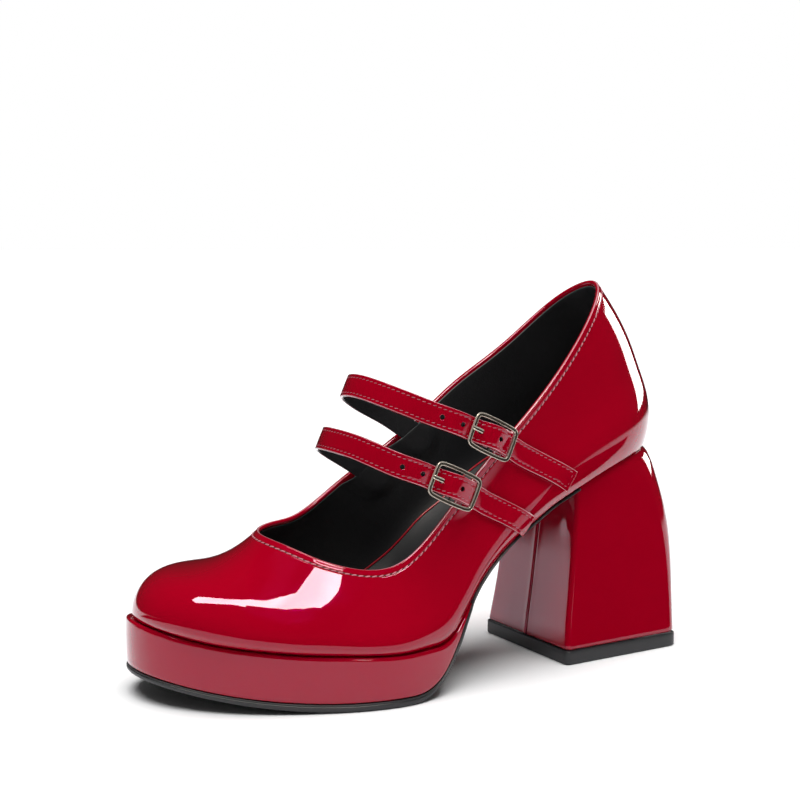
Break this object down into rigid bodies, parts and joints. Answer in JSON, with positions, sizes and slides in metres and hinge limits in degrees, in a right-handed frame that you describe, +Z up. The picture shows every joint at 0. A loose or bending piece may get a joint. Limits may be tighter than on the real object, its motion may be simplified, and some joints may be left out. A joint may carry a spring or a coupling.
{
  "type": "mary jane shoe",
  "caption": "Left mary jane in red patent leather with buckled straps, a covered platform and a high flared block heel.",
  "frame": {"origin": "middle of the heel tread, on the floor", "axes": "+X forward to the toe, +Y to the outer side of this left shoe, +Z up"},
  "size_m": [0.2215, 0.0864, 0.1512],
  "materials": {
    "red_patent": "glossy patent",
    "black_lining": "fine matt grain",
    "black_rubber": "satin",
    "antique_metal": "darkened, polished"
  },
  "bodies": {
    "root": {"upper": "red_patent", "insole": "black_lining", "platform": "red_patent", "outsole": "black_rubber", "heel": "red_patent", "heel_tap": "black_rubber", "strap_rear": "red_patent", "strap_front": "red_patent", "tab_rear": "red_patent", "tab_front": "red_patent", "buckle_rear": "antique_metal", "buckle_front": "antique_metal", "prong_rear": "antique_metal", "prong_front": "antique_metal"}
  },
  "joints": []
}
